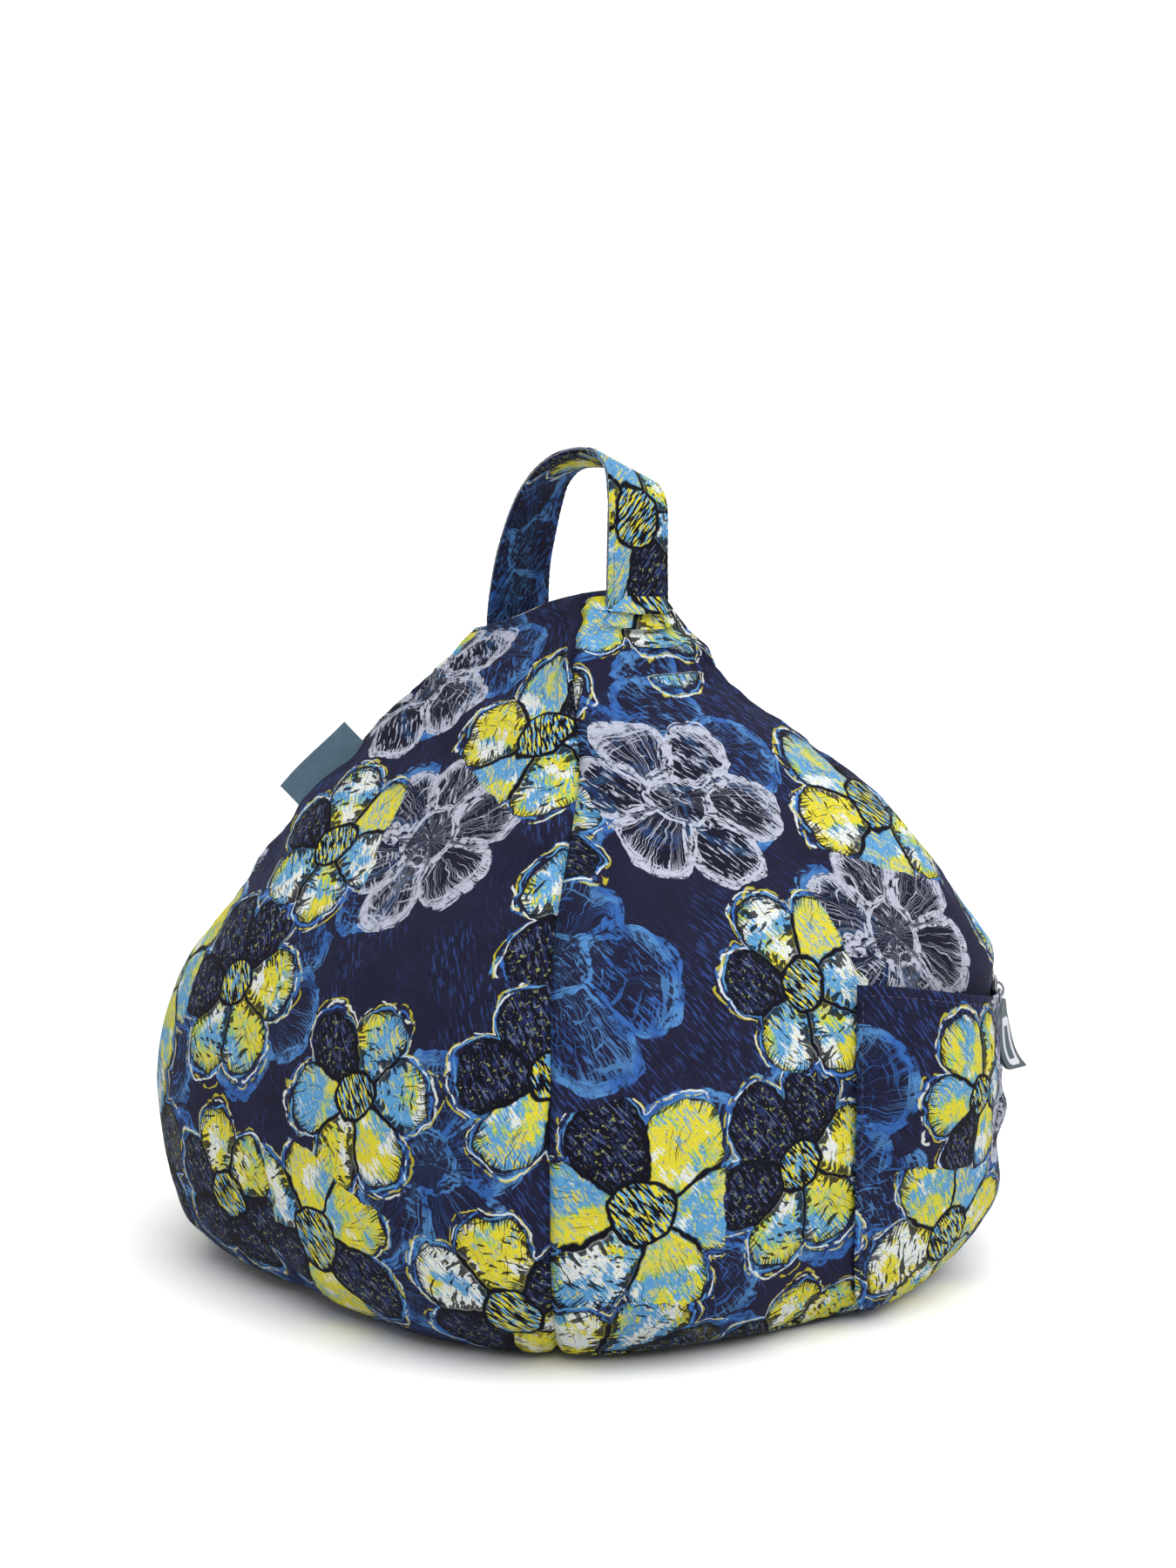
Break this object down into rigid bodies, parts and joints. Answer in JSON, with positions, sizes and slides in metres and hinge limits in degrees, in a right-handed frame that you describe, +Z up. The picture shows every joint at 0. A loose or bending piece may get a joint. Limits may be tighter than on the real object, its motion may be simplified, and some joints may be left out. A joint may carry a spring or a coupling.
{
  "type": "beanbag tablet stand",
  "caption": "Teardrop beanbag stand for a tablet, with a side phone pocket, a strap handle on its ridge and a corner zip with a hanging pull.",
  "frame": {"origin": "middle of the base on the floor", "axes": "-Y front, where a tablet leans; +X the side with the pocket; +Z up"},
  "size_m": [0.3186, 0.2983, 0.3279],
  "materials": {
    "cover_print": "matt printed cotton canvas",
    "pocket_print": "matt printed cotton canvas",
    "strap_print": "matt printed cotton canvas",
    "base_cloth": "plain navy canvas",
    "liner_cloth": "plain non-woven",
    "closure_tape": "hook and loop tape",
    "beads": "expanded polystyrene beads",
    "zip_tape": "woven tape",
    "zip_plastic": "moulded",
    "zip_metal": "dark coated zinc",
    "pull_wire": "dark coated steel",
    "pull_rubber": "matt moulded",
    "pull_inlay": "matt moulded",
    "label_weave": "woven satin, bare"
  },
  "bodies": {
    "cover": {"front_panel": "cover_print", "right_panel": "cover_print", "back_panel": "cover_print", "left_panel": "cover_print", "base_panel": "base_cloth", "side_pocket": "pocket_print", "inner_liner": "liner_cloth", "liner_closure": "closure_tape", "bead_fill": "beads", "zip_tape_left": "zip_tape", "zip_tape_right": "zip_tape", "zip_teeth_left": "zip_plastic", "zip_teeth_right": "zip_plastic", "zip_top_stop_left": "zip_metal", "zip_top_stop_right": "zip_metal", "zip_bottom_stop": "zip_metal", "label_tab": "label_weave"},
    "handle": {"handle_strap": "strap_print"},
    "slider": {"zip_slider": "zip_metal"},
    "pull": {"pull_link": "pull_wire", "pull_tab": "pull_rubber", "pull_tab_ring": "pull_inlay"}
  },
  "joints": [
    {"name": "handle_swing", "type": "hinge", "parent": "cover", "child": "handle", "pos_m": [0, 0, 0.258], "axis": [1, 0, 0], "range_deg": [-60, 60]},
    {"name": "zip_slide", "type": "slide", "parent": "cover", "child": "slider", "axis": [0.0297, 0.0297, -0.9991], "range_m": [0, 0.07]},
    {"name": "pull_swing", "type": "hinge", "parent": "slider", "child": "pull", "pos_m": [0.11826, 0.11826, 0.11207], "axis": [0.7071, -0.7071, 0], "range_deg": [0, 150]}
  ]
}
